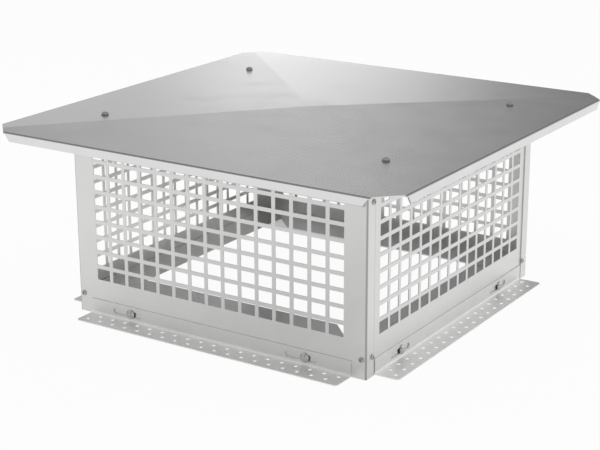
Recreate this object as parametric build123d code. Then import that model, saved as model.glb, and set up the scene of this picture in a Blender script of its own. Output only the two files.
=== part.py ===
from build123d import *
import os

# Chimney rain cap in folded stainless sheet. Millimetres, +Z up.
# The origin is the centre of the cage, level with the undersides of the mounting brackets.
# Every wall and its fittings are modelled as the front one, which faces -Y, and are then turned
# about Z to their own side. Front and back are wide panels that wrap the ends of the other two.

# Driving dimensions of the cage
BODY_WIDTH = 432.0
WALL_SHEET = 1.0
WALL_HEIGHT = 249.7
FOLD_RADIUS = 2.0
WRAP_WIDTH = 17.5
TUCK_WIDTH = 15.0
TUCK_FOLD_RADIUS = 1.5
TOP_FLANGE_WIDTH = 20.0
FLANGE_CLEARANCE = 0.2
MITRE_GAP = 1.5

# Openings of the perforated walls
OPENING_WIDTH = 20.0
OPENING_HEIGHT = 15.0
OPENING_BAR = 5.0
OPENING_COLUMNS = 15
OPENING_ROWS = 9
FIRST_ROW_Z = 55.0

# Relief in the left fold of the wrapping panels
RELIEF_HEIGHT = 3.0
RELIEF_DEPTH = 4.0
RELIEF_BITE = 1.5
RELIEF_Z = 28.5

# Lid
LID_WIDTH = 584.0
LID_SHEET = 1.0
LID_SEAT_GAP = 0.1
LID_RISE = 7.0
LID_CORNER_CUT = 30.0
LID_FOLD_RADIUS = 1.5
LIP_HEIGHT = 12.0
LIP_END_SLANT = 10.0
HEM_HEIGHT = 8.0
HEM_INNER_RADIUS = 0.15

# Ledges inside the foot of the cage
LEDGE_SHEET = 0.8
LEDGE_UNDERSIDE_Z = 27.4
LEDGE_LEG_BOTTOM_Z = 1.0
LEDGE_FOLD_RADIUS = 1.2
WIDE_LEDGE_DEPTH = 71.0
NARROW_LEDGE_DEPTH = 52.0
LEDGE_CUT_TO_CORNER = 12.5
LEDGE_END_CLEARANCE = 0.6
LEDGE_LEG_CLEARANCE = 2.0

# Mounting brackets
BRACKET_LENGTH = 392.0
BRACKET_SHEET = 1.2
BRACKET_LEG_HEIGHT = 20.4
BRACKET_FOOT_WIDTH = 33.0
BRACKET_FOLD_RADIUS = 1.8
BRACKET_CORNER_CUT = 3.0
BRACKET_GAP = 0.1
PUNCH_OFFSET = 5.0
SLOT_LENGTH = 46.0
SLOT_HEIGHT = 7.3
HOLE_DIAMETER = 5.0
HOLE_PITCH = 20.0
HOLES_PER_ROW = 19
INNER_ROW_FROM_WALL = 10.0
OUTER_ROW_FROM_WALL = 23.0

# Bracket bolts and nuts
BOLT_SPACING = 264.0
BOLT_Z = 10.5
BOLT_DIAMETER = 6.0
BOLT_HOLE_DIAMETER = 6.6
BOLT_HEAD_DIAMETER = 12.3
BOLT_HEAD_HEIGHT = 3.4
BOLT_RIM_HEIGHT = 0.8
BOLT_GRIP_PAST_NUT = 2.0
NUT_ACROSS_FLATS = 10.0
NUT_HEIGHT = 5.0
NUT_FLANGE_DIAMETER = 13.0
NUT_FLANGE_HEIGHT = 1.2
THREAD_CLEARANCE = 0.05

# Corner screws
SCREW_DIAMETER = 3.8
SCREW_HOLE_CLEARANCE = 0.1
SCREW_HEAD_DIAMETER = 7.2
SCREW_HEAD_HEIGHT = 2.2
SCREW_RIM_HEIGHT = 0.7
SCREW_LENGTH = 8.5
SCREW_POINT_LENGTH = 3.0
SCREW_TIP_DIAMETER = 0.2
WRAP_SCREW_FROM_CORNER = 13.5
FACE_SCREW_FROM_CORNER = 6.6
WRAP_SCREW_LOW_Z = 25.2
WRAP_SCREW_HIGH_Z = 213.8
FACE_SCREW_LOW_Z = 24.4
FACE_SCREW_HIGH_Z = 213.8

# Lid screws, their sealing washers and weld nuts
LID_SCREW_FROM_WALL = 8.5
LID_SCREW_SPACING = 324.0
LID_SCREW_DIAMETER = 5.0
LID_SCREW_HOLE_DIAMETER = 5.6
LID_SCREW_HEAD_DIAMETER = 8.4
LID_SCREW_HEAD_HEIGHT = 2.6
LID_SCREW_RIM_HEIGHT = 0.9
LID_SCREW_PAST_NUT = 3.0
WASHER_DIAMETER = 9.8
WASHER_HEIGHT = 1.1
WASHER_SEAT_GAP = 0.02
WELD_NUT_ACROSS_FLATS = 8.0
WELD_NUT_HEIGHT = 4.0

# How far a cutting tool runs past the sheet that it cuts
OVERRUN = 1.0

# Drives in the screw heads
DRIVE_DEPTH = 1.2
DRIVE_WIDTH = 0.9
DRIVE_SPAN_SHARE = 0.55

# Sizes that follow from the ones above
BODY_HALF = BODY_WIDTH / 2
TUCKED_HALF = BODY_HALF - WALL_SHEET
LID_HALF = LID_WIDTH / 2
LID_SLOPE = LID_RISE / LID_HALF
LID_EDGE_Z = WALL_HEIGHT + LID_SEAT_GAP + LID_SHEET - LID_SLOPE * (LID_HALF - BODY_HALF)
OPENING_PITCH_X = OPENING_WIDTH + OPENING_BAR
OPENING_PITCH_Z = OPENING_HEIGHT + OPENING_BAR
BOLT_XS = (-BOLT_SPACING / 2, BOLT_SPACING / 2)
WRAP_SCREW_ZS = (WRAP_SCREW_LOW_Z, WRAP_SCREW_HIGH_Z)
FACE_SCREW_ZS = (FACE_SCREW_LOW_Z, FACE_SCREW_HIGH_Z)
WRAP_SCREW_X = BODY_HALF - WRAP_SCREW_FROM_CORNER
FACE_SCREW_X = BODY_HALF - FACE_SCREW_FROM_CORNER
SCREW_HOLE_DIAMETER = SCREW_DIAMETER + 2 * SCREW_HOLE_CLEARANCE
LID_SCREW_FROM_CENTRE = BODY_HALF - LID_SCREW_FROM_WALL
LID_SCREW_SPOTS = [
    (side * LID_SCREW_FROM_CENTRE, along * LID_SCREW_SPACING / 2)
    for side in (-1, 1)
    for along in (-1, 1)
]

# Side name, turn about Z, and how far the outer face of its main sheet is from the centre
SIDES = {
    "front": (0, BODY_HALF),
    "right": (90, TUCKED_HALF),
    "back": (180, BODY_HALF),
    "left": (270, TUCKED_HALF),
}
WRAPPING_SIDES = ("front", "back")


def block(x_range, y_range, z_range):
    """A box between two values on each axis."""
    size = [high - low for low, high in (x_range, y_range, z_range)]
    middle = [(high + low) / 2 for low, high in (x_range, y_range, z_range)]
    return Pos(*middle) * Box(*size)


def rod_along_y(x, z, diameter, y_range):
    """A round bar or drill along Y."""
    length = y_range[1] - y_range[0]
    return Pos(x, (y_range[0] + y_range[1]) / 2, z) * Rot(90, 0, 0) * Cylinder(diameter / 2, length)


def sheet_band(points, radii, sheet):
    """The section of a bent sheet: its outer line, filleted, and the thickness on its left."""
    line = FilletPolyline(*points, radius=radii)
    return make_face(offset(line, amount=sheet, side=Side.LEFT, closed=True).edges())


def punched(places, outline):
    """A sketch that repeats one outline at each place."""
    return Sketch() + [place * outline for place in places]


def one_solid(shape):
    """The single solid that a feature leaves, checked."""
    solids = shape.solids()
    assert len(solids) == 1, f"{len(solids)} solids where one was meant"
    return solids[0]


def lid_height(distance):
    """Height of the lid's upper face at a distance from the centre, measured square to a lip."""
    return LID_EDGE_Z + LID_SLOPE * (LID_HALF - distance)


def make_wall(half_width, face, return_depth, return_top, fold_radius):
    """A perforated panel with a return at each end and a flange along its top."""
    outline = [
        (half_width, -face + return_depth),
        (half_width, -face),
        (-half_width, -face),
        (-half_width, -face + return_depth),
    ]
    band = sheet_band(outline[::-1], fold_radius, WALL_SHEET)
    panel = extrude(band, WALL_HEIGHT)
    if return_top < WALL_HEIGHT:
        inside = -face + WALL_SHEET
        for side in (-1, 1):
            ends = sorted((side * (half_width - TUCK_WIDTH), side * (half_width + WALL_SHEET)))
            panel -= block(ends, (inside, inside + TUCK_WIDTH), (return_top, WALL_HEIGHT + OVERRUN))
    middle_row_z = FIRST_ROW_Z + OPENING_PITCH_Z * (OPENING_ROWS - 1) / 2
    grid = GridLocations(OPENING_PITCH_X, OPENING_PITCH_Z, OPENING_COLUMNS, OPENING_ROWS)
    plane = Plane(origin=(0, -face - OVERRUN, middle_row_z), x_dir=(1, 0, 0), z_dir=(0, 1, 0))
    cells = punched(grid, Rectangle(OPENING_WIDTH, OPENING_HEIGHT))
    panel -= extrude(plane * cells, WALL_SHEET + 2 * OVERRUN)
    flange_outer = TUCKED_HALF - MITRE_GAP
    flange_start = -face + WALL_SHEET / 2
    flange_end = -face + WALL_SHEET + TOP_FLANGE_WIDTH
    reach = flange_end - flange_start
    flange_outline = Polyline(
        (-flange_outer, flange_start),
        (flange_outer, flange_start),
        (flange_outer - reach, flange_end),
        (reach - flange_outer, flange_end),
        close=True,
    )
    flange = Pos(0, 0, WALL_HEIGHT - WALL_SHEET) * extrude(make_face(flange_outline), WALL_SHEET)
    return panel + flange


def drill_wall(panel, face, wraps):
    """Drill a panel for its bracket bolts, corner screws and, on tucked panels, lid screws."""
    through = (-face - OVERRUN, -face + WALL_SHEET + OVERRUN)
    for x in BOLT_XS:
        panel -= rod_along_y(x, BOLT_Z, BOLT_HOLE_DIAMETER, through)
    own_x, own_zs = (FACE_SCREW_X, FACE_SCREW_ZS) if wraps else (WRAP_SCREW_X, WRAP_SCREW_ZS)
    other_x, other_zs = (WRAP_SCREW_X, WRAP_SCREW_ZS) if wraps else (FACE_SCREW_X, FACE_SCREW_ZS)
    for side in (-1, 1):
        for z in own_zs:
            panel -= rod_along_y(side * own_x, z, SCREW_HOLE_DIAMETER, through)
        for z in other_zs:
            drill = Rot(0, 90, 0) * Cylinder(SCREW_HOLE_DIAMETER / 2, 4 * WALL_SHEET)
            panel -= Pos(side * BODY_HALF, -other_x, z) * drill
    if not wraps:
        for side in (-1, 1):
            spot = Pos(side * LID_SCREW_SPACING / 2, -LID_SCREW_FROM_CENTRE, WALL_HEIGHT)
            panel -= spot * Cylinder(LID_SCREW_HOLE_DIAMETER / 2, 4 * WALL_SHEET)
    return panel


def wall_panel(side):
    """The finished panel of one side, modelled as the front one."""
    wraps = side in WRAPPING_SIDES
    face = SIDES[side][1]
    if wraps:
        panel = make_wall(BODY_HALF, face, WRAP_WIDTH, WALL_HEIGHT, FOLD_RADIUS)
        relief_z = (RELIEF_Z - RELIEF_HEIGHT / 2, RELIEF_Z + RELIEF_HEIGHT / 2)
        left_x = (-BODY_HALF - OVERRUN, -BODY_HALF + RELIEF_BITE)
        panel -= block(left_x, (-face - OVERRUN, -face + RELIEF_DEPTH), relief_z)
    else:
        tuck_top = WALL_HEIGHT - WALL_SHEET - FLANGE_CLEARANCE
        panel = make_wall(TUCKED_HALF, face, TUCK_WIDTH, tuck_top, TUCK_FOLD_RADIUS)
    return one_solid(drill_wall(panel, face, wraps))


def base_ledge(side):
    """The inner angle of one side: a leg on the wall and a flat flange with one end mitred."""
    wraps = side in WRAPPING_SIDES
    seat = -SIDES[side][1] + WALL_SHEET
    depth = WIDE_LEDGE_DEPTH if wraps else NARROW_LEDGE_DEPTH
    under = LEDGE_UNDERSIDE_Z + (LEDGE_SHEET if wraps else 0)
    top = under + LEDGE_SHEET
    inner_edge = -BODY_HALF + depth
    section = [(inner_edge, top), (seat, top), (seat, LEDGE_LEG_BOTTOM_Z)]
    band = sheet_band(section, LEDGE_FOLD_RADIUS, LEDGE_SHEET)
    length = 2 * TUCKED_HALF
    plane = Plane(origin=(-TUCKED_HALF, 0, 0), x_dir=(0, 1, 0), z_dir=(1, 0, 0))
    ledge = extrude(plane * band, length)
    end = TUCKED_HALF - WALL_SHEET - LEDGE_END_CLEARANCE
    ledge &= block((-end, end), (-BODY_HALF, 0), (0, WALL_HEIGHT))
    if wraps:
        leg_end = TUCKED_HALF - TUCK_WIDTH - LEDGE_LEG_CLEARANCE
        clear_y = -TUCKED_HALF + WALL_SHEET + LEDGE_END_CLEARANCE
        for sign in (-1, 1):
            ends = sorted((sign * leg_end, sign * BODY_HALF))
            ledge -= block(ends, (-BODY_HALF, clear_y), (0, WALL_HEIGHT))
    cut_start = BODY_HALF - LEDGE_CUT_TO_CORNER
    reach = depth + OVERRUN
    corner = Polyline(
        (cut_start, -BODY_HALF),
        (cut_start - reach, -BODY_HALF + reach),
        (BODY_HALF + reach, -BODY_HALF + reach),
        (BODY_HALF + reach, -BODY_HALF),
        close=True,
    )
    flange_zone = (under - LEDGE_FOLD_RADIUS, top + OVERRUN)
    ledge -= Pos(0, 0, flange_zone[0]) * extrude(make_face(corner), flange_zone[1] - flange_zone[0])
    through = (-BODY_HALF, seat + LEDGE_SHEET + OVERRUN)
    for x in BOLT_XS:
        ledge -= rod_along_y(x, BOLT_Z, BOLT_HOLE_DIAMETER, through)
    if not wraps:
        for x in (-WRAP_SCREW_X, WRAP_SCREW_X):
            ledge -= rod_along_y(x, WRAP_SCREW_LOW_Z, SCREW_HOLE_DIAMETER, through)
    return one_solid(ledge)


def mounting_bracket(side):
    """The outer angle of one side, with two slots and two rows of fixing holes."""
    back = -SIDES[side][1] - BRACKET_GAP
    section = [(back - BRACKET_FOOT_WIDTH, 0), (back, 0), (back, BRACKET_LEG_HEIGHT)]
    band = sheet_band(section, BRACKET_FOLD_RADIUS, BRACKET_SHEET)
    half = BRACKET_LENGTH / 2
    plane = Plane(origin=(-half, 0, 0), x_dir=(0, 1, 0), z_dir=(1, 0, 0))
    bracket = extrude(plane * band, BRACKET_LENGTH)
    tip = back - BRACKET_FOOT_WIDTH
    for sign in (-1, 1):
        clip = Polyline(
            (sign * half, tip),
            (sign * (half - BRACKET_CORNER_CUT), tip),
            (sign * half, tip + BRACKET_CORNER_CUT),
            close=True,
        )
        bracket -= Pos(0, 0, -OVERRUN) * extrude(make_face(clip), BRACKET_SHEET + 2 * OVERRUN)
    outside = back - BRACKET_SHEET - OVERRUN
    slot_plane = Plane(origin=(-PUNCH_OFFSET, outside, BOLT_Z), x_dir=(1, 0, 0), z_dir=(0, 1, 0))
    slots = punched([Pos(x, 0) for x in BOLT_XS], SlotOverall(SLOT_LENGTH, SLOT_HEIGHT))
    bracket -= extrude(slot_plane * slots, BRACKET_SHEET + 2 * OVERRUN)
    row = punched(GridLocations(HOLE_PITCH, 1, HOLES_PER_ROW, 1), Circle(HOLE_DIAMETER / 2))
    drills = extrude(row, BRACKET_SHEET + 2 * OVERRUN)
    bracket -= Pos(PUNCH_OFFSET, back - INNER_ROW_FROM_WALL, -OVERRUN) * drills
    bracket -= Pos(-PUNCH_OFFSET, back - OUTER_ROW_FROM_WALL, -OVERRUN) * drills
    return one_solid(bracket)


def cross_drive(head_diameter):
    """The cross that is sunk into a head whose top is at z = 0."""
    span = head_diameter * DRIVE_SPAN_SHARE
    bar = Box(span, DRIVE_WIDTH, 2 * DRIVE_DEPTH)
    return bar + Rot(0, 0, 90) * bar


def dome_head(diameter, height, rim):
    """A low domed head that sits on z = 0 and points up."""
    radius = diameter / 2
    rise = height - rim
    ball_radius = (radius**2 + rise**2) / (2 * rise)
    ball = Pos(0, 0, height - ball_radius) * Sphere(ball_radius)
    return ball & extrude(Circle(radius), height)


def driven_head(diameter, height, rim):
    """A domed head with a cross drive."""
    return dome_head(diameter, height, rim) - Pos(0, 0, height) * cross_drive(diameter)


def to_front(x, y, z):
    """Places a fastener that points up so that its head faces -Y and it sits at a point."""
    return Pos(x, y, z) * Rot(90, 0, 0)


def bracket_bolts(side):
    """The two bolts that clamp one bracket."""
    face = SIDES[side][1]
    grip = BRACKET_GAP + BRACKET_SHEET + BRACKET_GAP + WALL_SHEET + LEDGE_SHEET
    length = grip + NUT_HEIGHT + BOLT_GRIP_PAST_NUT
    head = dome_head(BOLT_HEAD_DIAMETER, BOLT_HEAD_HEIGHT, BOLT_RIM_HEIGHT)
    bolt = head + Pos(0, 0, -length / 2) * Cylinder(BOLT_DIAMETER / 2, length)
    seat = -face - BRACKET_GAP - BRACKET_SHEET - BRACKET_GAP
    return [to_front(x, seat, BOLT_Z) * bolt for x in BOLT_XS]


def bracket_nuts(side):
    """The two flanged nuts of one bracket, against the ledge's leg."""
    bore = Cylinder(BOLT_DIAMETER / 2 + THREAD_CLEARANCE, 4 * NUT_HEIGHT)
    hexagon = RegularPolygon(NUT_ACROSS_FLATS / 2, 6, major_radius=False)
    nut = extrude(hexagon, NUT_HEIGHT) + extrude(Circle(NUT_FLANGE_DIAMETER / 2), NUT_FLANGE_HEIGHT)
    nut -= bore
    seat = -SIDES[side][1] + WALL_SHEET + LEDGE_SHEET
    return [Pos(x, seat, BOLT_Z) * Rot(-90, 0, 0) * nut for x in BOLT_XS]


def corner_screw():
    """A self-tapping screw that points down from a head on z = 0."""
    straight = SCREW_LENGTH - SCREW_POINT_LENGTH
    head = driven_head(SCREW_HEAD_DIAMETER, SCREW_HEAD_HEIGHT, SCREW_RIM_HEIGHT)
    shank = Pos(0, 0, -straight / 2) * Cylinder(SCREW_DIAMETER / 2, straight)
    taper = Cone(SCREW_TIP_DIAMETER / 2, SCREW_DIAMETER / 2, SCREW_POINT_LENGTH)
    point = Pos(0, 0, -straight - SCREW_POINT_LENGTH / 2) * taper
    return head + shank + point


def corner_screws(side):
    """The four screws whose heads show on one side."""
    wraps = side in WRAPPING_SIDES
    x_from_centre, zs = (FACE_SCREW_X, FACE_SCREW_ZS) if wraps else (WRAP_SCREW_X, WRAP_SCREW_ZS)
    screw = corner_screw()
    return [to_front(sign * x_from_centre, -BODY_HALF, z) * screw for sign in (-1, 1) for z in zs]


def lid_side():
    """One quarter of the lid: a triangle of roof with its hemmed lip."""
    lip_bottom = LID_EDGE_Z - LIP_HEIGHT
    path = [
        (OVERRUN, lid_height(-OVERRUN)),
        (-LID_HALF, LID_EDGE_Z),
        (-LID_HALF, lip_bottom),
    ]
    sheet = sheet_band(path, LID_FOLD_RADIUS, LID_SHEET)
    hem_outer = 2 * LID_SHEET + 2 * HEM_INNER_RADIUS
    hem_y = -LID_HALF + hem_outer / 2
    hem_base = Pos(hem_y, lip_bottom) * Rectangle(hem_outer, hem_outer)
    turn_back = hem_base & Pos(hem_y, lip_bottom + hem_outer / 2) * Circle(hem_outer / 2)
    fold_y = -LID_HALF + hem_outer - LID_SHEET / 2
    fold_z = lip_bottom + hem_outer / 2 + HEM_HEIGHT / 2
    profile = (sheet - hem_base) + turn_back + Pos(fold_y, fold_z) * Rectangle(LID_SHEET, HEM_HEIGHT)
    plane = Plane(origin=(-LID_HALF, 0, 0), x_dir=(0, 1, 0), z_dir=(1, 0, 0))
    return extrude(plane * profile, LID_WIDTH)


def make_lid():
    """The whole lid: four sides joined at the creases, with cut corners and slanted lip ends."""
    tall = (LID_EDGE_Z - 2 * LIP_HEIGHT, LID_EDGE_Z + 2 * LID_RISE)
    wedge_line = Polyline((0, 0), (-LID_WIDTH, -LID_WIDTH), (LID_WIDTH, -LID_WIDTH), close=True)
    wedge = Pos(0, 0, tall[0]) * extrude(make_face(wedge_line), tall[1] - tall[0])
    quarter = lid_side() & wedge
    lid = quarter
    for turn in (90, 180, 270):
        lid += Rot(0, 0, turn) * quarter
    past_edge = LID_HALF + OVERRUN
    cut_reach = LID_HALF - LID_CORNER_CUT - OVERRUN
    corner_line = Polyline(
        (past_edge, -cut_reach),
        (cut_reach, -past_edge),
        (past_edge, -past_edge),
        close=True,
    )
    corner = Pos(0, 0, tall[0]) * extrude(make_face(corner_line), tall[1] - tall[0])
    lip_top_x = LID_HALF - LID_CORNER_CUT
    below_roof = LID_EDGE_Z - LID_SHEET - LID_FOLD_RADIUS
    below_lip = LID_EDGE_Z - LIP_HEIGHT - OVERRUN
    slant_line = Polyline(
        (lip_top_x, LID_EDGE_Z),
        (lip_top_x - LIP_END_SLANT, below_lip),
        (past_edge, below_lip),
        (past_edge, LID_EDGE_Z),
        close=True,
    )
    hem_thickness = 2 * (LID_SHEET + HEM_INNER_RADIUS)
    slant_plane = Plane(origin=(0, -past_edge, 0), x_dir=(1, 0, 0), z_dir=(0, -1, 0))
    slant = extrude(slant_plane * make_face(slant_line), -hem_thickness - 2 * OVERRUN)
    slant &= block((0, LID_WIDTH), (-LID_WIDTH, 0), (tall[0], below_roof))
    for turn in (0, 90, 180, 270):
        spin = Rot(0, 0, turn)
        lid -= spin * corner
        lid -= spin * slant
        lid -= spin * mirror(slant, Plane.YZ)
    for x, y in LID_SCREW_SPOTS:
        lid -= Pos(x, y, LID_EDGE_Z) * Cylinder(LID_SCREW_HOLE_DIAMETER / 2, 4 * LID_RISE)
    return one_solid(lid)


def lid_fasteners():
    """The lid's screws, sealing washers and weld nuts, each as a list of four."""
    washer_z = lid_height(LID_SCREW_FROM_CENTRE - WASHER_DIAMETER / 2) + WASHER_SEAT_GAP
    head_z = washer_z + WASHER_HEIGHT
    nut_top = WALL_HEIGHT - WALL_SHEET
    length = head_z - nut_top + WELD_NUT_HEIGHT + LID_SCREW_PAST_NUT
    head = driven_head(LID_SCREW_HEAD_DIAMETER, LID_SCREW_HEAD_HEIGHT, LID_SCREW_RIM_HEIGHT)
    screw = head + Pos(0, 0, -length / 2) * Cylinder(LID_SCREW_DIAMETER / 2, length)
    washer = extrude(Circle(WASHER_DIAMETER / 2) - Circle(LID_SCREW_HOLE_DIAMETER / 2), WASHER_HEIGHT)
    hexagon = RegularPolygon(WELD_NUT_ACROSS_FLATS / 2, 6, major_radius=False)
    bore = Circle(LID_SCREW_DIAMETER / 2 + THREAD_CLEARANCE)
    nut = extrude(hexagon - bore, -WELD_NUT_HEIGHT)
    screws = [Pos(x, y, head_z) * screw for x, y in LID_SCREW_SPOTS]
    washers = [Pos(x, y, washer_z) * washer for x, y in LID_SCREW_SPOTS]
    nuts = [Pos(x, y, nut_top) * nut for x, y in LID_SCREW_SPOTS]
    return screws, washers, nuts


def save(name, shapes):
    """Write one node, as a solid or as a group of separate solids."""
    shape = shapes[0] if len(shapes) == 1 else Compound(children=shapes)
    shape.label = name
    export_step(shape, f"parts/{name}.step")


def main():
    """Build every node and write it to the parts folder."""
    os.makedirs("parts", exist_ok=True)
    makers = {
        "wall_panel": lambda side: [wall_panel(side)],
        "base_ledge": lambda side: [base_ledge(side)],
        "mounting_bracket": lambda side: [mounting_bracket(side)],
        "bracket_bolts": bracket_bolts,
        "bracket_nuts": bracket_nuts,
        "corner_screws": corner_screws,
    }
    for side, (turn, _) in SIDES.items():
        for piece, maker in makers.items():
            solids = [Rot(0, 0, turn) * shape.solids()[0] for shape in maker(side)]
            save(f"{side}_{piece}", solids)
    screws, washers, nuts = lid_fasteners()
    save("lid", [make_lid()])
    save("lid_screws", [shape.solids()[0] for shape in screws])
    save("lid_sealing_washers", [shape.solids()[0] for shape in washers])
    save("lid_weld_nuts", [shape.solids()[0] for shape in nuts])


main()
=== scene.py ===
"""Looks of the chimney rain cap: finishes, refined fasteners, studio and camera around the fixed frame."""

import logging
import math
from dataclasses import dataclass
from enum import Enum

import bmesh
import bpy
from mathutils import Matrix, Vector


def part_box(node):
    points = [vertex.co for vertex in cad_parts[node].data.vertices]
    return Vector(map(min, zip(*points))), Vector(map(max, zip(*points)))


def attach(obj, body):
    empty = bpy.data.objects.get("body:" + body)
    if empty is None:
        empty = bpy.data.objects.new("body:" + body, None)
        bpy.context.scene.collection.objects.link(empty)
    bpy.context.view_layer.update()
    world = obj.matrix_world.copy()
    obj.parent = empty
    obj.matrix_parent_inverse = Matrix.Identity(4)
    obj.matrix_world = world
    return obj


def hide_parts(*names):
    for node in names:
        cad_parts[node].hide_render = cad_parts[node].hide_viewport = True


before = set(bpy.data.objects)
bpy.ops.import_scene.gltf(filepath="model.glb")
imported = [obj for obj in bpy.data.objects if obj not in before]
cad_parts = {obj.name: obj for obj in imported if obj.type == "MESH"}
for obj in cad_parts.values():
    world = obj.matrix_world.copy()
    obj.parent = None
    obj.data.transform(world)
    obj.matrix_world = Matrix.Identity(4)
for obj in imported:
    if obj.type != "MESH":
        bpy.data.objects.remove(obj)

MM = 0.001
NOISE_RANGE = (0.25, 0.75)
LATHE_STEPS = 32
DOME_STEPS = 10
SHARP_ANGLE = math.radians(32.0)
HEXAGON_HALF_TURN = math.radians(30.0)

# The fasteners are drawn in millimetres, and so are these.
MERGE_DISTANCE = 0.0001
EDGE_BREAK = 0.15
THREAD_LEAST_RADIUS = 0.1

# A thread's ring, as shares of its height with how far it is sunk there, and its depth and end.
THREAD_RING = ((0.35, 0.0), (0.5, 0.0), (0.85, 1.0))
THREAD_DEPTH_SHARE = 0.55
THREAD_END_SHARE = 0.9

log = logging.getLogger("rain_cap")


class Grain(Enum):
    """Direction in which a sheet was rolled, as the scale of its grain along X, Y and Z.

    A small scale draws the grain out into long lines.
    """

    ALONG_X = (0.02, 1.0, 1.0)
    ALONG_Y = (1.0, 0.02, 1.0)
    NONE = (1.0, 1.0, 1.0)


class Side(Enum):
    """A side of the cage, with its number of quarter turns from the front."""

    FRONT = 0
    RIGHT = 1
    BACK = 2
    LEFT = 3

    @property
    def label(self) -> str:
        """Name of the side as the nodes write it."""
        return self.name.lower()

    @property
    def wraps(self) -> bool:
        """Whether this side's wall wraps round its neighbours at the corners."""
        return self.value % 2 == 0

    @property
    def grain(self) -> Grain:
        """Grain of a sheet that runs along this side's wall."""
        return Grain.ALONG_X if self.wraps else Grain.ALONG_Y


class Joining(Enum):
    """How one closed mesh works on another, in Blender's word for it."""

    CUT = "DIFFERENCE"
    JOIN = "UNION"
    TRIM = "INTERSECT"


def arithmetic(
    tree: bpy.types.NodeTree, operation: str, *values: bpy.types.NodeSocket | float
) -> bpy.types.NodeSocket:
    """Add one step of arithmetic to a node tree.

    Args:
        tree: Node tree to add to.
        operation: Kind of step, as Blender's Math node names it.
        values: Sockets or plain numbers to work on.

    Returns:
        The result.
    """
    node = tree.nodes.new("ShaderNodeMath")
    node.operation = operation
    for value, socket in zip(values, node.inputs):
        if isinstance(value, (int, float)):
            socket.default_value = value
        else:
            tree.links.new(value, socket)
    return node.outputs[0]


def place_in_metres(tree: bpy.types.NodeTree) -> bpy.types.NodeSocket:
    """Give the place on the piece in metres, on the piece's own axes.

    Args:
        tree: Node tree to add to.

    Returns:
        The coordinates.
    """
    return tree.nodes.new("ShaderNodeTexCoord").outputs["Object"]


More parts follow.
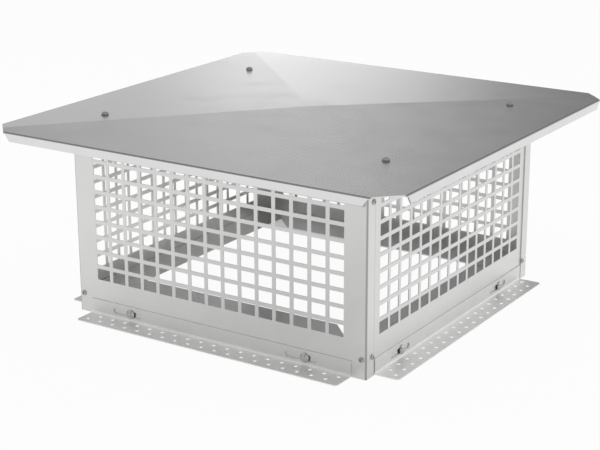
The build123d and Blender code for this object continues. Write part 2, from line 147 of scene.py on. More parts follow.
@dataclass(frozen=True)
class SteelFinish:
    """Satin stainless sheet or a turned fastener.

    Sizes are in metres. The grain is fine lines along the rolling direction, the waves are the
    slight unevenness of a flat sheet, and the smudges are handling marks that change the gloss.
    Each band is a height above the floor and the share of the tone painted there: painted light that makes
    the sheet look more brightly lit at those heights.
    """

    name: str
    tone: tuple[float, float, float]
    roughness: float
    grain: Grain = Grain.NONE
    grain_size: float = 0.0016
    grain_depth: float = 0.000004
    wave_size: float = 0.11
    wave_depth: float = 0.0
    smudge_size: float = 0.05
    smudge_share: float = 0.05
    tone_share: float = 0.04
    grain_detail: float = 3.0
    smudge_detail: float = 2.0
    wave_detail: float = 0.0
    bands: tuple[tuple[float, float], ...] = ()

    def material(self) -> bpy.types.Material:
        """Build the node tree of this finish.

        Returns:
            A new material.
        """
        made = bpy.data.materials.new(self.name)
        made.use_nodes = True
        tree = made.node_tree
        shader = tree.nodes["Principled BSDF"]
        shader.inputs["Metallic"].default_value = 1.0
        place = place_in_metres(tree)
        stretch = tree.nodes.new("ShaderNodeMapping")
        stretch.inputs["Scale"].default_value = self.grain.value
        tree.links.new(place, stretch.inputs["Vector"])
        lines = self._noise(tree, stretch.outputs["Vector"], self.grain_size, self.grain_detail)
        smudges = self._noise(tree, place, self.smudge_size, self.smudge_detail)
        gloss = self._spread(tree, smudges, self.roughness, self.smudge_share)
        tree.links.new(gloss, shader.inputs["Roughness"])
        tone = self._tone(tree, smudges)
        share = self._share(tree, place)
        if share is not None:
            scaled = tree.nodes.new("ShaderNodeVectorMath")
            scaled.operation = "SCALE"
            tree.links.new(tone, scaled.inputs[0])
            tree.links.new(share, scaled.inputs["Scale"])
            tone = scaled.outputs["Vector"]
        tree.links.new(tone, shader.inputs["Base Color"])
        bump = self._bump(tree, lines, self.grain_depth, None)
        if self.wave_depth > 0.0:
            waves = self._noise(tree, place, self.wave_size, self.wave_detail)
            bump = self._bump(tree, waves, self.wave_depth, bump)
        tree.links.new(bump, shader.inputs["Normal"])
        return made

    def _noise(
        self,
        tree: bpy.types.NodeTree,
        place: bpy.types.NodeSocket,
        size: float,
        detail: float,
    ) -> bpy.types.NodeSocket:
        """Add a noise with spots of a given size.

        Args:
            tree: Node tree to add to.
            place: Coordinates in metres.
            size: Size of a spot in metres.
            detail: Finer layers on top of the first.

        Returns:
            The noise value, about 0 to 1.
        """
        node = tree.nodes.new("ShaderNodeTexNoise")
        node.inputs["Scale"].default_value = 1.0 / size
        node.inputs["Detail"].default_value = detail
        tree.links.new(place, node.inputs["Vector"])
        return node.outputs["Fac"]

    def _spread(
        self,
        tree: bpy.types.NodeTree,
        value: bpy.types.NodeSocket,
        middle: float,
        share: float,
    ) -> bpy.types.NodeSocket:
        """Map a noise to a narrow range around a middle value.

        Args:
            tree: Node tree to add to.
            value: Noise to map.
            middle: Middle of the range.
            share: How far the range reaches to each side.

        Returns:
            The mapped value.
        """
        node = tree.nodes.new("ShaderNodeMapRange")
        node.inputs["From Min"].default_value = NOISE_RANGE[0]
        node.inputs["From Max"].default_value = NOISE_RANGE[1]
        node.inputs["To Min"].default_value = middle - share
        node.inputs["To Max"].default_value = middle + share
        tree.links.new(value, node.inputs["Value"])
        return node.outputs["Result"]

    def _tone(self, tree: bpy.types.NodeTree, value: bpy.types.NodeSocket) -> bpy.types.NodeSocket:
        """Vary the tone a little with a noise.

        Args:
            tree: Node tree to add to.
            value: Noise that drives the change.

        Returns:
            The colour socket.
        """
        ramp = tree.nodes.new("ShaderNodeValToRGB")
        shares = (1.0 - self.tone_share, 1.0 + self.tone_share)
        for stop, position, share in zip(ramp.color_ramp.elements, NOISE_RANGE, shares):
            stop.position = position
            stop.color = (*(min(part * share, 1.0) for part in self.tone), 1.0)
        tree.links.new(value, ramp.inputs["Fac"])
        return ramp.outputs["Color"]

    def _share(
        self, tree: bpy.types.NodeTree, place: bpy.types.NodeSocket
    ) -> bpy.types.NodeSocket | None:
        """Give the share of the tone at each height, from the finish's bands of painted light.

        Args:
            tree: Node tree to add to.
            place: Coordinates in metres.

        Returns:
            The share, or None where the tone is the same at every height.
        """
        if not self.bands:
            return None
        split = tree.nodes.new("ShaderNodeSeparateXYZ")
        tree.links.new(place, split.inputs[0])
        # Painted light by height: the bands lighten the sheet where it should look more brightly lit.
        top = self.bands[-1][0]
        ramp = tree.nodes.new("ShaderNodeValToRGB")
        tree.links.new(arithmetic(tree, "DIVIDE", split.outputs["Z"], top), ramp.inputs["Fac"])
        stops = ramp.color_ramp.elements
        for number, (height, share) in enumerate(self.bands):
            stop = stops[number] if number < 2 else stops.new(height / top)
            stop.position = height / top
            stop.color = (share, share, share, 1.0)
        return ramp.outputs["Color"]

    def _bump(
        self,
        tree: bpy.types.NodeTree,
        height: bpy.types.NodeSocket,
        depth: float,
        under: bpy.types.NodeSocket | None,
    ) -> bpy.types.NodeSocket:
        """Add a bump of a real depth.

        Args:
            tree: Node tree to add to.
            height: Height value, 0 to 1.
            depth: Depth of the bump in metres.
            under: Normal that this bump lies on, if any.

        Returns:
            The bumped normal.
        """
        node = tree.nodes.new("ShaderNodeBump")
        node.inputs["Strength"].default_value = 1.0
        node.inputs["Distance"].default_value = depth
        tree.links.new(height, node.inputs["Height"])
        if under is not None:
            tree.links.new(under, node.inputs["Normal"])
        return node.outputs["Normal"]


@dataclass(frozen=True)
class FoldedFinish(SteelFinish):
    """Steel sheet with painted shade along its folds.

    A fold is where the sheet lies close to two planes at once. Upright folds lie on an X plane
    and a Y plane, both at fold_from_centre. Where fold_level is above 0, the folds are level
    ones, as at the lid's edges: they lie on the nearer of those planes and at that height.
    Where edge_from_centre is given, a painted shadow line runs along the cut edges of the wraps too: they
    lie beyond its X and at its Y. The painted shade is the share of the tone that is left on a fold, and a
    reach is how far the painted shade goes, in metres.
    """

    fold_from_centre: float = 0.216
    fold_level: float = 0.0
    # Painted shade: the share of the tone left on a fold, and how far it reaches.
    fold_painted_shade: float = 0.5
    fold_reach: tuple[float, float] = (0.0009, 0.0026)
    edge_from_centre: tuple[float, float] = (0.0, 0.0)
    edge_reach: float = 0.0009

    def _share(self, tree: bpy.types.NodeTree, place: bpy.types.NodeSocket) -> bpy.types.NodeSocket:
        """Give the share of the tone that the painted shade on the folds and the painted shadow along the
        cut edges leave.

        Args:
            tree: Node tree to add to.
            place: Coordinates in metres.

        Returns:
            The share.
        """
        split = tree.nodes.new("ShaderNodeSeparateXYZ")
        tree.links.new(place, split.inputs[0])
        away = [arithmetic(tree, "ABSOLUTE", split.outputs[axis]) for axis in ("X", "Y")]
        if self.fold_level > 0.0:
            side = arithmetic(tree, "MAXIMUM", *away)
            depths = [
                arithmetic(tree, "SUBTRACT", self.fold_from_centre, side),
                arithmetic(tree, "SUBTRACT", self.fold_level, split.outputs["Z"]),
            ]
        else:
            depths = [arithmetic(tree, "SUBTRACT", self.fold_from_centre, part) for part in away]
        # Painted shade along the folds.
        fold = self._painted_shade(tree, arithmetic(tree, "MAXIMUM", *depths), self.fold_reach)
        wrap_x, edge_y = self.edge_from_centre
        if not edge_y:
            return fold
        inside = arithmetic(tree, "LESS_THAN", away[0], wrap_x)
        from_edge = arithmetic(tree, "ABSOLUTE", arithmetic(tree, "SUBTRACT", away[1], edge_y))
        # Painted shadow line along the cut edges of the wraps.
        edge = self._painted_shade(tree, arithmetic(tree, "ADD", from_edge, inside), (0.0, self.edge_reach))
        return arithmetic(tree, "MULTIPLY", fold, edge)

    def _painted_shade(
        self, tree: bpy.types.NodeTree, away: bpy.types.NodeSocket, reach: tuple[float, float]
    ) -> bpy.types.NodeSocket:
        """Fade from the painted shade's share to 1 as the distance grows.

        Args:
            tree: Node tree to add to.
            away: Distance from the line in metres.
            reach: Distances where the painted shade is whole and where it ends.

        Returns:
            The share of the tone that is left.
        """
        node = tree.nodes.new("ShaderNodeMapRange")
        node.interpolation_type = "SMOOTHSTEP"
        node.inputs["From Min"].default_value = reach[0]
        node.inputs["From Max"].default_value = reach[1]
        node.inputs["To Min"].default_value = self.fold_painted_shade
        tree.links.new(away, node.inputs["Value"])
        return node.outputs["Result"]


@dataclass(frozen=True)
class RubberFinish:
    """Black sealing rubber with a fine grain."""

    name: str
    tone: tuple[float, float, float]
    roughness: float
    grain_size: float = 0.0006
    grain_depth: float = 0.00002
    tone_shares: tuple[float, float] = (0.7, 1.4)

    def material(self) -> bpy.types.Material:
        """Build the node tree of this finish.

        Returns:
            A new material.
        """
        made = bpy.data.materials.new(self.name)
        made.use_nodes = True
        tree = made.node_tree
        shader = tree.nodes["Principled BSDF"]
        shader.inputs["Roughness"].default_value = self.roughness
        noise = tree.nodes.new("ShaderNodeTexNoise")
        noise.inputs["Scale"].default_value = 1.0 / self.grain_size
        tree.links.new(place_in_metres(tree), noise.inputs["Vector"])
        ramp = tree.nodes.new("ShaderNodeValToRGB")
        for stop, share in zip(ramp.color_ramp.elements, self.tone_shares):
            stop.color = (*(part * share for part in self.tone), 1.0)
        tree.links.new(noise.outputs["Fac"], ramp.inputs["Fac"])
        tree.links.new(ramp.outputs["Color"], shader.inputs["Base Color"])
        bump = tree.nodes.new("ShaderNodeBump")
        bump.inputs["Distance"].default_value = self.grain_depth
        tree.links.new(noise.outputs["Fac"], bump.inputs["Height"])
        tree.links.new(bump.outputs["Normal"], shader.inputs["Normal"])
        return made


def dress(node: str, material: bpy.types.Material) -> None:
    """Give a carried-over node its finish in its own material slots.

    Args:
        node: Name of the node.
        material: Finish to show.
    """
    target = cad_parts[node]
    if not target.material_slots:
        target.data.materials.append(material)
    for slot in target.material_slots:
        slot.link = "OBJECT"
        slot.material = material
    log.info("dressed %s in %s", node, material.name)


@dataclass(frozen=True)
class Glow:
    """A soft bright patch of the studio around one direction.

    The azimuth runs from +Y towards -X and the elevation up from the horizon, in degrees. A
    sharpness of 0 lights the whole room evenly; the larger it is, the smaller the patch.
    """

    azimuth: float
    elevation: float
    sharpness: float
    level: float

    @property
    def towards(self) -> Vector:
        """Unit vector towards the middle of the patch."""
        turn = math.radians(self.azimuth)
        rise = math.radians(self.elevation)
        return Vector((-math.sin(turn) * math.cos(rise), math.cos(turn) * math.cos(rise), math.sin(rise)))

    def light(self, tree: bpy.types.NodeTree, direction: bpy.types.NodeSocket) -> bpy.types.NodeSocket:
        """Add the nodes that give this patch's light in a direction.

        Args:
            tree: World's node tree.
            direction: Direction that is looked in.

        Returns:
            The light from there.
        """
        near = tree.nodes.new("ShaderNodeVectorMath")
        near.operation = "DOT_PRODUCT"
        near.inputs[1].default_value = self.towards
        tree.links.new(direction, near.inputs[0])
        fall = arithmetic(tree, "MULTIPLY_ADD", near.outputs["Value"], self.sharpness, -self.sharpness)
        return arithmetic(tree, "MULTIPLY", arithmetic(tree, "EXPONENT", fall), self.level)


@dataclass(frozen=True)
class Lamp:
    """A square soft lamp that faces the object: place and size in metres, power in watts."""

    name: str
    place: tuple[float, float, float]
    size: float
    power: float


@dataclass(frozen=True)
class Studio:
    """Pale floor, soft light and the camera of the photograph.

    Lengths are in metres and angles in degrees, and the camera's azimuth runs from the front
    towards the right side. The backdrop shares say how much of a plain white each kind of ray
    sees on the floor. What the metal sees is dimmer near the dim spot: the dim shares are the
    factors there and far away, and it changes over the distances of the dim reach.
    """

    camera_place: tuple[float, float, float] = (1.0602, -1.6534, 0.7252)
    camera_azimuth: float = 33.046
    camera_elevation: float = 17.808
    camera_roll: float = -0.173
    sensor_width: float = 36.0
    lens: float = 93.3
    clip: tuple[float, float] = (0.05, 100.0)
    floor_size: float = 30.0
    floor_drop: float = 0.0005
    floor_tone: float = 0.9
    backdrop_shares: tuple[tuple[str, float], ...] = (
        ("Is Camera Ray", 0.95),
        ("Is Transmission Ray", 0.93),
        ("Is Glossy Ray", 0.3),
    )
    dim_spot: tuple[float, float, float] = (0.06, -0.45, 0.0)
    dim_reach: tuple[float, float] = (0.1, 0.5)
    dim_shares: tuple[float, float] = (0.8, 2.95)
    glows: tuple[Glow, ...] = (
        Glow(0.0, 90.0, 0.0, 0.11),
        Glow(0.0, 90.0, 3.0, 0.45),
        Glow(35.0, 4.0, 600.0, 2.7),
        Glow(30.0, 4.0, 470.0, 1.75),
        Glow(35.0, 10.0, 60.0, 0.3),
        Glow(35.0, 22.0, 60.0, 0.25),
        Glow(58.0, 8.0, 60.0, 0.45),
        Glow(44.0, 5.0, 300.0, 0.85),
        Glow(-20.0, 10.0, 20.0, 1.1),
        Glow(-60.0, 10.0, 7.0, 0.6),
        Glow(145.0, 18.0, 8.0, 0.5),
        Glow(213.0, 15.0, 8.0, 0.6),
    )
    lamps: tuple[Lamp, ...] = (
        Lamp("left_lamp", (-1.6, -0.4, 1.3), 2.4, 6.0),
        Lamp("right_lamp", (1.7, 0.7, 1.6), 3.0, 9.0),
        Lamp("top_lamp", (0.0, -0.3, 2.4), 2.0, 10.0),
    )

    def build(self) -> None:
        """Make the camera, floor, world and lamps."""
        self._camera()
        self._floor()
        self._world()
        self._lamps()

    def _camera(self) -> None:
        """Place the camera at the photograph's viewpoint."""
        data = bpy.data.cameras.new("photo_camera")
        data.sensor_width = self.sensor_width
        data.lens = self.lens
        data.clip_start, data.clip_end = self.clip
        camera = bpy.data.objects.new("photo_camera", data)
        bpy.context.scene.collection.objects.link(camera)
        turn = Matrix.Rotation(math.radians(self.camera_azimuth), 4, "Z")
        tilt = Matrix.Rotation(math.radians(90.0 - self.camera_elevation), 4, "X")
        roll = Matrix.Rotation(math.radians(self.camera_roll), 4, "Z")
        camera.matrix_world = Matrix.Translation(self.camera_place) @ turn @ tilt @ roll
        bpy.context.scene.camera = camera

    def _floor(self) -> None:
        """Lay the pale floor just under the brackets."""
        mesh = bpy.data.meshes.new("floor")
        shape = bmesh.new()
        bmesh.ops.create_grid(shape, x_segments=1, y_segments=1, size=self.floor_size / 2)
        bmesh.ops.translate(shape, verts=shape.verts, vec=(0.0, 0.0, -self.floor_drop))
        shape.to_mesh(mesh)
        shape.free()
        floor = bpy.data.objects.new("floor", mesh)
        bpy.context.scene.collection.objects.link(floor)
        mesh.materials.append(self._floor_material())

    def _floor_material(self) -> bpy.types.Material:
        """Mix a plain pale floor with the white that the camera and the metal see.

        Returns:
            The floor's material.
        """
        made = bpy.data.materials.new("pale_floor")
        made.use_nodes = True
        tree = made.node_tree
        tree.nodes.clear()
        plain = tree.nodes.new("ShaderNodeBsdfDiffuse")
        plain.inputs["Color"].default_value = (self.floor_tone,) * 3 + (1.0,)
        white = tree.nodes.new("ShaderNodeEmission")
        mix = tree.nodes.new("ShaderNodeMixShader")
        tree.links.new(self._backdrop_share(tree), mix.inputs["Fac"])
        tree.links.new(plain.outputs[0], mix.inputs[1])
        tree.links.new(white.outputs[0], mix.inputs[2])
        out = tree.nodes.new("ShaderNodeOutputMaterial")
        tree.links.new(mix.outputs[0], out.inputs["Surface"])
        return made

    def _backdrop_share(self, tree: bpy.types.NodeTree) -> bpy.types.NodeSocket:
        """Say how much of the plain white each kind of ray sees on the floor.

        Args:
            tree: Node tree to add to.

        Returns:
            A share of 0 to 1.
        """
        path = tree.nodes.new("ShaderNodeLightPath")
        total = None
        for kind, level in self.backdrop_shares:
            share = arithmetic(tree, "MULTIPLY", path.outputs[kind], level)
            if kind == "Is Glossy Ray":
                share = arithmetic(tree, "MULTIPLY", share, self._away_from_dim_spot(tree))
            total = share if total is None else arithmetic(tree, "MAXIMUM", total, share)
        return total

    def _away_from_dim_spot(self, tree: bpy.types.NodeTree) -> bpy.types.NodeSocket:
        """Let the metal see a floor that is dimmer in front of the front wall, as beside a dark card.

        Args:
            tree: Node tree to add to.

        Returns:
            A factor that grows with the distance from the dim spot.
        """
        away = tree.nodes.new("ShaderNodeVectorMath")
        away.operation = "DISTANCE"
        away.inputs[1].default_value = self.dim_spot
        tree.links.new(place_in_metres(tree), away.inputs[0])
        node = tree.nodes.new("ShaderNodeMapRange")
        node.inputs["From Min"].default_value = self.dim_reach[0]
        node.inputs["From Max"].default_value = self.dim_reach[1]
        node.inputs["To Min"].default_value = self.dim_shares[0]
        node.inputs["To Max"].default_value = self.dim_shares[1]
        tree.links.new(away.outputs["Value"], node.inputs["Value"])
        return node.outputs["Result"]

    def _world(self) -> None:
        """Make a dim studio with soft bright patches, which the lid and the walls mirror."""
        world = bpy.data.worlds.new("studio")
        bpy.context.scene.world = world
        world.use_nodes = True
        tree = world.node_tree
        tree.nodes.clear()
        direction = tree.nodes.new("ShaderNodeTexCoord").outputs["Generated"]
        total = None
        for glow in self.glows:
            light = glow.light(tree, direction)
            total = light if total is None else arithmetic(tree, "ADD", total, light)
        room = tree.nodes.new("ShaderNodeBackground")
        room.inputs["Color"].default_value = (1.0, 1.0, 1.0, 1.0)
        tree.links.new(total, room.inputs["Strength"])
        out = tree.nodes.new("ShaderNodeOutputWorld")
        tree.links.new(room.outputs[0], out.inputs["Surface"])

    def _lamps(self) -> None:
        """Hang the soft lamps and turn them to the object."""
        for lamp in self.lamps:
            data = bpy.data.lights.new(lamp.name, "AREA")
            data.shape = "SQUARE"
            data.size = lamp.size
            data.energy = lamp.power
            hung = bpy.data.objects.new(lamp.name, data)
            bpy.context.scene.collection.objects.link(hung)
            place = Vector(lamp.place)
            hung.location = place
            hung.rotation_euler = (-place).to_track_quat("-Z", "Y").to_euler()


@dataclass(frozen=True)
class SheetWork:
    """The lid, walls, ledges and brackets, which keep the solids' own shape.

    Lengths are in metres. The wrap edge is the X beyond which the cut edges of the wraps lie and their Y,
    where painted shadow lines run, and the lid edge is the distance from the centre and the height of the
    lid's folds, which carry painted shade.
    """

    lid_tone: tuple[float, float, float] = (0.76, 0.76, 0.765)
    lid_roughness: float = 0.22
    lid_wave_depth: float = 0.0003
    lid_wave_size: float = 0.22
    lid_edge: tuple[float, float] = (0.292, 0.24898)
    # Painted shade along the lid's level folds: how far it reaches and how dark it is.
    lid_fold_reach: tuple[float, float] = (0.0011, 0.0021)
    lid_fold_painted_shade: float = 0.36
    side_wave_depth: float = 0.0002
    wall_tone: tuple[float, float, float] = (0.75, 0.75, 0.74)
    wall_roughness: float = 0.34
    # Where the painted shadow lines along the wraps' cut edges lie.
    wrap_edge: tuple[float, float] = (0.2153, 0.1985)
    # The ledges' darker tone is painted shade: the same steel as the walls, darkened where the lid shades
    # the inside of the cage.
    ledge_shaded_tone: tuple[float, float, float] = (0.57, 0.57, 0.57)
    ledge_roughness: float = 0.3
    # The brackets' tone, a little above the walls', is painted light that lifts their feet.
    bracket_tone: tuple[float, float, float] = (0.8, 0.8, 0.79)
    bracket_roughness: float = 0.5
    # Painted light: the feet and the walls of their holes are lightened up to 3.4 mm, and the legs' top
    # edge a little.
    bracket_painted_light_bands: tuple[tuple[float, float], ...] = (
        (0.0, 1.22),
        (0.0034, 1.22),
        (0.0044, 1.0),
        (0.0198, 1.0),
        (0.0204, 1.1),
    )

    def build(self) -> None:
        """Dress every sheet part, with its grain along its own wall."""
        dress("lid", self._lid_finish().material())
        made: dict[Grain, dict[str, bpy.types.Material]] = {}
        for grain in (Grain.ALONG_X, Grain.ALONG_Y):
            finishes = self._side_finishes(grain)
            made[grain] = {part: finish.material() for part, finish in finishes.items()}
        for side in Side:
            for part, material in made[side.grain].items():
                dress(f"{side.label}_{part}", material)

    def _lid_finish(self) -> FoldedFinish:
        """Describe the lid's sheet, with painted shade along its level folds.

        Returns:
            The finish.
        """
        from_centre, level = self.lid_edge
        return FoldedFinish(
            "lid_sheet",
            self.lid_tone,
            self.lid_roughness,
            Grain.ALONG_X,
            wave_depth=self.lid_wave_depth,
            wave_size=self.lid_wave_size,
            fold_from_centre=from_centre,
            fold_level=level,
            fold_reach=self.lid_fold_reach,
            fold_painted_shade=self.lid_fold_painted_shade,
        )

    def _side_finishes(self, grain: Grain) -> dict[str, SteelFinish]:
        """Describe the sheets that run along a wall.

        Args:
            grain: Direction in which they were rolled.

        Returns:
            The finish of each kind of part.
        """
        word = grain.name.lower()
        return {
            "wall_panel": FoldedFinish(
                f"wall_sheet_{word}",
                self.wall_tone,
                self.wall_roughness,
                grain,
                wave_depth=self.side_wave_depth,
                edge_from_centre=self.wrap_edge,
            ),
            "base_ledge": SteelFinish(
                f"ledge_sheet_{word}",
                self.ledge_shaded_tone,
                self.ledge_roughness,
                grain,
                wave_depth=self.side_wave_depth,
            ),
            "mounting_bracket": SteelFinish(
                f"bracket_sheet_{word}",
                self.bracket_tone,
                self.bracket_roughness,
                grain,
                wave_depth=self.side_wave_depth,
                bands=self.bracket_painted_light_bands,
            ),
        }


def lathe(profile: list[tuple[float, float]], closed: bool = False) -> bpy.types.Mesh:
    """Turn a profile about the Z axis.

    Args:
        profile: Points of the profile, as radius and height.
        closed: Whether the profile is a closed loop, as for a ring.

    Returns:
        A closed mesh whose faces point outwards.
    """
    shape = bmesh.new()
    line = [shape.verts.new((radius, 0.0, height)) for radius, height in profile]
    pairs = list(zip(line, line[1:]))
    if closed:
        pairs.append((line[-1], line[0]))
    edges = [shape.edges.new(pair) for pair in pairs]
    bmesh.ops.spin(
        shape,
        geom=line + edges,
        cent=(0.0, 0.0, 0.0),
        axis=(0.0, 0.0, 1.0),
        angle=math.tau,
        steps=LATHE_STEPS,
        use_merge=True,
    )
    bmesh.ops.remove_doubles(shape, verts=shape.verts, dist=MERGE_DISTANCE)
    bmesh.ops.recalc_face_normals(shape, faces=shape.faces)
    return finished(shape)


def finished(shape: bmesh.types.BMesh) -> bpy.types.Mesh:
    """Turn a bmesh into a mesh and free it.

    Args:
        shape: The bmesh.

    Returns:
        The mesh.
    """
    mesh = bpy.data.meshes.new("part")
    shape.to_mesh(mesh)
    shape.free()
    return mesh


def combine(target: bpy.types.Mesh, tool: bpy.types.Mesh, how: Joining) -> bpy.types.Mesh:
    """Cut, join or trim one closed mesh with another, and delete both.

    Args:
        target: Mesh to work on.
        tool: Mesh to work with.
        how: What to do.

    Returns:
        The result as a new mesh.
    """
    scene = bpy.context.scene
    pair = [bpy.data.objects.new("work", mesh) for mesh in (target, tool)]
    for part in pair:
        scene.collection.objects.link(part)
    step = pair[0].modifiers.new("combine", "BOOLEAN")
    step.operation = how.value
    step.solver = "EXACT"
    step.object = pair[1]
    graph = bpy.context.evaluated_depsgraph_get()
    result = bpy.data.meshes.new_from_object(pair[0].evaluated_get(graph))
    for part in pair:
        bpy.data.objects.remove(part)
    for mesh in (target, tool):
        bpy.data.meshes.remove(mesh)
    return result


def domed_head(diameter: float, height: float, rim: float) -> list[tuple[float, float]]:
    """Draw the profile of a low domed head, from its pole to its seat at height 0.

    Args:
        diameter: Diameter of the head in millimetres.
        height: Height of the pole in millimetres.
        rim: Height of the straight rim in millimetres.

    Returns:
        The points of the profile.
    """
    radius, rise = diameter / 2, height - rim
    ball = (radius**2 + rise**2) / (2 * rise)
    reach = math.asin(radius / ball)
    turns = [reach * step / DOME_STEPS for step in range(DOME_STEPS + 1)]
    arc = [(ball * math.sin(turn), height - ball * (1.0 - math.cos(turn))) for turn in turns]
    return arc + [(radius, EDGE_BREAK), (radius - EDGE_BREAK, 0.0)]


def thread(diameter: float, length: float, pitch: float, point: float = 0.0) -> list[tuple[float, float]]:
    """Draw the profile of a threaded shank below height 0, down to its end on the axis.

    The thread is made of rings, one for each turn.

    Args:
        diameter: Outer diameter of the thread in millimetres.
        length: Length of the shank in millimetres.
        pitch: Height of one turn in millimetres.
        point: Length of the tapered point at the end in millimetres, or 0 for a blunt end.

    Returns:
        The points of the profile.
    """
    radius = diameter / 2
    depth = THREAD_DEPTH_SHARE * pitch
    line = [(radius - depth, 0.0)]
    for turn in range(int(length / pitch)):
        for share, sunk in THREAD_RING:
            down = (turn + share) * pitch
            left = min(1.0, (length - down) / point) if point else 1.0
            line.append((max(left * (radius - sunk * depth), THREAD_LEAST_RADIUS), -down))
    return line + [(line[-1][0] * THREAD_END_SHARE, -length), (0.0, -length)]


@dataclass(frozen=True)
class Bolt:
    """Plain domed bolt. Lengths in millimetres, head up and seat at height 0."""

    diameter: float = 6.0
    length: float = 10.2
    pitch: float = 1.0
    head_diameter: float = 12.3
    head_height: float = 3.4
    rim: float = 0.8

    def mesh(self) -> bpy.types.Mesh:
        """Turn the bolt in one piece."""
        head = domed_head(self.head_diameter, self.head_height, self.rim)
        return lathe(head + thread(self.diameter, self.length, self.pitch))


@dataclass(frozen=True)
class CrossScrew:
    """Domed screw with a cross drive. Lengths in millimetres, head up and seat at height 0.

    The drive's span is a share of the head's diameter, and the draft is how much of an arm's
    width and span is left at its floor.
    """

    diameter: float
    length: float
    pitch: float
    point: float
    head_diameter: float
    head_height: float
    rim: float
    drive_depth: float = 1.2
    drive_width: float = 0.9
    drive_span_share: float = 0.55
    drive_draft: float = 0.7

    def mesh(self) -> bpy.types.Mesh:
        """Turn the screw, then sink the two arms of its cross.

        Returns:
            The screw as a closed mesh.
        """
        head = domed_head(self.head_diameter, self.head_height, self.rim)
        screw = lathe(head + thread(self.diameter, self.length, self.pitch, self.point))
        for turn in (0.0, 90.0):
            screw = combine(screw, self._drive_arm(turn), Joining.CUT)
        return screw

    def _drive_arm(self, turn: float) -> bpy.types.Mesh:
        """Make one arm of the cross, which narrows towards its floor.

        Args:
            turn: Turn about the screw's axis, in degrees.

        Returns:
            The arm as a closed mesh.
        """
        shape = bmesh.new()
        bmesh.ops.create_cube(shape, size=1.0)
        span = self.head_diameter * self.drive_span_share
        bmesh.ops.scale(shape, verts=shape.verts, vec=(span, self.drive_width, 2 * self.drive_depth))
        floor = [vert for vert in shape.verts if vert.co.z < 0.0]
        bmesh.ops.scale(shape, verts=floor, vec=(self.drive_draft, self.drive_draft, 1.0))
        turned = Matrix.Rotation(math.radians(turn), 4, "Z")
        lift = Matrix.Translation((0.0, 0.0, self.head_height))
        bmesh.ops.transform(shape, matrix=lift @ turned, verts=shape.verts)
        return finished(shape)


@dataclass(frozen=True)
class HexNut:
    """Hexagon nut, with or without a flange. Lengths in millimetres, seat at height 0.

    The corners are trimmed by a cone that starts at a share of the flats' radius and slopes by
    so many degrees. The flange starts a little inside the flats, and its rim is a share of its
    height. The envelope that trims and bores the nut reaches past its seat by the margin.
    """

    across_flats: float
    height: float
    bore: float
    flange_diameter: float = 0.0
    flange_height: float = 0.0
    flange_overlap: float = 0.2
    flange_rim_share: float = 0.6
    corner_share: float = 0.95
    corner_slope: float = 30.0
    envelope_margin: float = 1.0

    def mesh(self) -> bpy.types.Mesh:
        """Shape the blank, then trim its corners and bore it with one turned envelope.

        Returns:
            The nut as a closed mesh.
        """
        blank = self._hexagon()
        if self.flange_diameter:
            blank = combine(blank, self._flange(), Joining.JOIN)
        return combine(blank, self._envelope(), Joining.TRIM)

    def _hexagon(self) -> bpy.types.Mesh:
        """Make the plain hexagon with two corners along X.

        Returns:
            The hexagon as a closed mesh.
        """
        shape = bmesh.new()
        radius = self.across_flats / 2 / math.cos(HEXAGON_HALF_TURN)
        bmesh.ops.create_cone(
            shape, cap_ends=True, segments=6, radius1=radius, radius2=radius, depth=self.height
        )
        lift = Matrix.Translation((0.0, 0.0, self.height / 2))
        turned = Matrix.Rotation(HEXAGON_HALF_TURN, 4, "Z")
        bmesh.ops.transform(shape, matrix=lift @ turned, verts=shape.verts)
        return finished(shape)

    def _flange(self) -> bpy.types.Mesh:
        """Turn the flange, which slopes up to the hexagon.

        Returns:
            The flange as a closed mesh.
        """
        radius = self.flange_diameter / 2
        return lathe([
            (0.0, self.flange_height),
            (self.across_flats / 2 - self.flange_overlap, self.flange_height),
            (radius, self.flange_height * self.flange_rim_share),
            (radius, EDGE_BREAK),
            (radius - EDGE_BREAK, 0.0),
            (0.0, 0.0),
        ])

    def _envelope(self) -> bpy.types.Mesh:
        """Turn the ring that the nut lies in: cone over the corners, bore in the middle.

        Returns:
            The ring as a closed mesh.
        """
        outside, inside = self.across_flats, self.bore / 2
        slope = math.tan(math.radians(self.corner_slope))
        shoulder = self.corner_share * self.across_flats / 2
        return lathe([
            (inside, -self.envelope_margin),
            (outside, -self.envelope_margin),
            (outside, self.height - (outside - shoulder) * slope),
            (inside, self.height + (shoulder - inside) * slope),
        ], closed=True)


@dataclass(frozen=True)
class SealingWasher:
    """Soft ring under a lid screw, a little squeezed out. Lengths in millimetres, seat at height 0."""

    diameter: float = 9.8
    hole: float = 5.6
    height: float = 1.1
    bulge: float = 0.25
    rim_steps: int = 6

    def mesh(self) -> bpy.types.Mesh:
        """Turn the ring with its bulged rim.

        Returns:
            The washer as a closed mesh.
        """
        outside, inside = self.diameter / 2, self.hole / 2
        rim = []
        for step in range(self.rim_steps + 1):
            sunk = self.bulge * (1.0 - math.sin(math.pi * step / self.rim_steps))
            rim.append((outside - sunk, self.height * step / self.rim_steps))
        return lathe([(inside, 0.0)] + rim + [(inside, self.height)], closed=True)


def stand(side: Side, along: float, out: float, height: float, inwards: bool = False) -> Matrix:
    """Stand a fastener on a side of the cage.

    Args:
        side: Side of the cage.
        along: Place along the wall in millimetres.
        out: Distance of the seat from the cage's centre in millimetres.
        height: Height in millimetres.
        inwards: Whether the fastener points into the cage.

    Returns:
        The fastener's place, which also turns millimetres into metres.
    """
    turn = Matrix.Rotation(math.radians(90.0 * side.value), 4, "Z")
    tip = Matrix.Rotation(math.radians(-90.0 if inwards else 90.0), 4, "X")
    return Matrix.Scale(MM, 4) @ turn @ Matrix.Translation((along, -out, height)) @ tip


def lifted(spots: list[tuple[float, float]], height: float) -> list[Matrix]:
    """Stand upright fasteners at one height.

    Args:
        spots: Places in X and Y, in millimetres.
        height: Height of their seats in millimetres.

    Returns:
        The places, which also turn millimetres into metres.
    """
    return [Matrix.Scale(MM, 4) @ Matrix.Translation((x, y, height)) for x, y in spots]


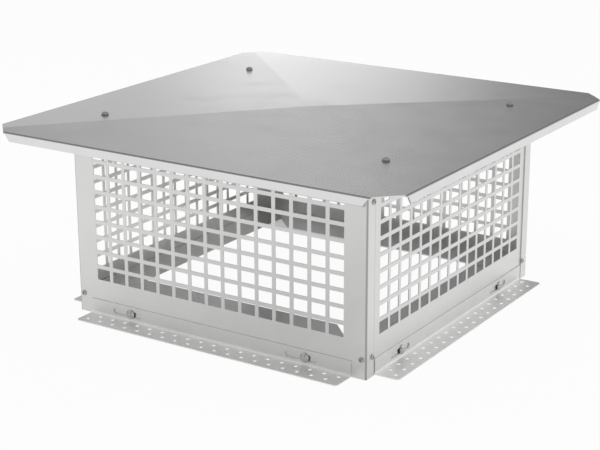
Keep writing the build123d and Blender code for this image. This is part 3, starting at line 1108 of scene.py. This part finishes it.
def group(
    node: str, part: bpy.types.Mesh, places: list[Matrix], finish: bpy.types.Material
) -> None:
    """Make the fasteners of one node as one piece on the cage.

    Args:
        node: Node that the piece stands for.
        part: Mesh of one fastener.
        places: Where the fasteners stand.
        finish: Material to show.
    """
    shape = bmesh.new()
    for place in places:
        copy = part.copy()
        copy.transform(place)
        shape.from_mesh(copy)
        bpy.data.meshes.remove(copy)
    for face in shape.faces:
        face.smooth = True
    for edge in shape.edges:
        edge.smooth = edge.calc_face_angle(math.pi) < SHARP_ANGLE
    mesh = finished(shape)
    mesh.name = f"{node}_turned"
    mesh.materials.append(finish)
    piece = bpy.data.objects.new(f"{node}_turned", mesh)
    bpy.context.scene.collection.objects.link(piece)
    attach(piece, "cage")
    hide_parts(node)
    log.info("modelled %s with %d faces", piece.name, len(mesh.polygons))


@dataclass(frozen=True)
class Fasteners:
    """Bolts, nuts, screws and washers.

    Lengths are in millimetres. A place is given on the front side, as the distance along the
    wall, out from the cage's centre and up, and is turned to each other side. The front and back
    walls wrap the corners, and the right and left ones are tucked in between them. The bolts'
    seats lie out from the wall's outer face by the bracket and its gaps, and the nuts' lie
    in from it by the wall and the ledge that they clamp.
    """

    bolt: Bolt = Bolt()
    bracket_nut: HexNut = HexNut(
        across_flats=10.0, height=5.0, bore=6.1, flange_diameter=13.0, flange_height=1.2
    )
    corner_screw: CrossScrew = CrossScrew(
        diameter=3.8, length=8.5, pitch=1.4, point=3.0, head_diameter=7.2, head_height=2.2, rim=0.7
    )
    lid_screw: CrossScrew = CrossScrew(
        diameter=5.0, length=10.54, pitch=0.8, point=0.0, head_diameter=8.4, head_height=2.6, rim=0.9
    )
    washer: SealingWasher = SealingWasher()
    weld_nut: HexNut = HexNut(across_flats=8.0, height=4.0, bore=5.1)
    wrapping_face: float = 216.0
    tucked_face: float = 215.0
    bolt_along: float = 132.0
    bolt_height: float = 10.5
    bolt_seat_out: float = 1.4
    nut_seat_in: float = 1.8
    wrapping_screw_along: float = 209.4
    tucked_screw_along: float = 202.5
    wrapping_screw_heights: tuple[float, float] = (24.4, 213.8)
    tucked_screw_heights: tuple[float, float] = (25.2, 213.8)
    lid_screw_along: tuple[float, float] = (207.5, 162.0)
    bolt_tone: tuple[float, float, float] = (0.54, 0.54, 0.53)
    screw_tone: tuple[float, float, float] = (0.46, 0.46, 0.45)
    lid_screw_tone: tuple[float, float, float] = (0.38, 0.38, 0.37)
    rubber_tone: tuple[float, float, float] = (0.24, 0.24, 0.24)
    bolt_roughness: float = 0.16
    screw_roughness: float = 0.24
    lid_screw_roughness: float = 0.62
    rubber_roughness: float = 0.7

    def build(self) -> None:
        """Model and dress every fastener in place of its plain node."""
        bolt_steel = SteelFinish("bolt_steel", self.bolt_tone, self.bolt_roughness).material()
        screw_steel = SteelFinish("screw_steel", self.screw_tone, self.screw_roughness).material()
        lid_steel = SteelFinish("lid_screw_steel", self.lid_screw_tone, self.lid_screw_roughness).material()
        rubber = RubberFinish("sealing_rubber", self.rubber_tone, self.rubber_roughness).material()
        bolt = self.bolt.mesh()
        nut = self.bracket_nut.mesh()
        screw = self.corner_screw.mesh()
        for side in Side:
            bolts, nuts = self._clamp_places(side)
            group(f"{side.label}_bracket_bolts", bolt, bolts, bolt_steel)
            group(f"{side.label}_bracket_nuts", nut, nuts, bolt_steel)
            screws = self._corner_places(side)
            group(f"{side.label}_corner_screws", screw, screws, screw_steel)
        self._lid_fasteners(lid_steel, rubber, bolt_steel)

    def _clamp_places(self, side: Side) -> tuple[list[Matrix], list[Matrix]]:
        """Work out where the bolts and nuts of one bracket stand.

        Args:
            side: Side of the cage.

        Returns:
            The places of the bolts and of the nuts.
        """
        face = self.wrapping_face if side.wraps else self.tucked_face
        alongs = (-self.bolt_along, self.bolt_along)
        bolts = [stand(side, x, face + self.bolt_seat_out, self.bolt_height) for x in alongs]
        nuts = [stand(side, x, face - self.nut_seat_in, self.bolt_height, True) for x in alongs]
        return bolts, nuts

    def _corner_places(self, side: Side) -> list[Matrix]:
        """Work out where the corner screws of one side stand.

        Args:
            side: Side of the cage.

        Returns:
            The places of the four screws.
        """
        along = self.wrapping_screw_along if side.wraps else self.tucked_screw_along
        heights = self.wrapping_screw_heights if side.wraps else self.tucked_screw_heights
        return [stand(side, x, self.wrapping_face, z) for x in (-along, along) for z in heights]

    def _lid_fasteners(
        self, steel: bpy.types.Material, rubber: bpy.types.Material, nut_steel: bpy.types.Material
    ) -> None:
        """Model the lid's screws, sealing washers and weld nuts.

        Args:
            steel: Finish of the screws.
            rubber: Finish of the washers.
            nut_steel: Finish of the weld nuts.
        """
        x, y = self.lid_screw_along
        spots = [(sx * x, sy * y) for sx in (-1, 1) for sy in (-1, 1)]
        low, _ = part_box("lid_sealing_washers")
        _, nut_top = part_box("lid_weld_nuts")
        washer_z = low[2] / MM
        screws = lifted(spots, washer_z + self.washer.height)
        group("lid_screws", self.lid_screw.mesh(), screws, steel)
        washers = lifted(spots, washer_z)
        group("lid_sealing_washers", self.washer.mesh(), washers, rubber)
        flip = Matrix.Rotation(math.pi, 4, "X")
        nuts = [place @ flip for place in lifted(spots, nut_top[2] / MM)]
        group("lid_weld_nuts", self.weld_nut.mesh(), nuts, nut_steel)


def main() -> None:
    """Build the studio and dress the object."""
    logging.basicConfig(level=logging.INFO, format="%(name)s: %(message)s")
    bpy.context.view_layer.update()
    bpy.context.scene.view_settings.view_transform = "Standard"
    Studio().build()
    SheetWork().build()
    Fasteners().build()


if __name__ == "__main__":
    main()
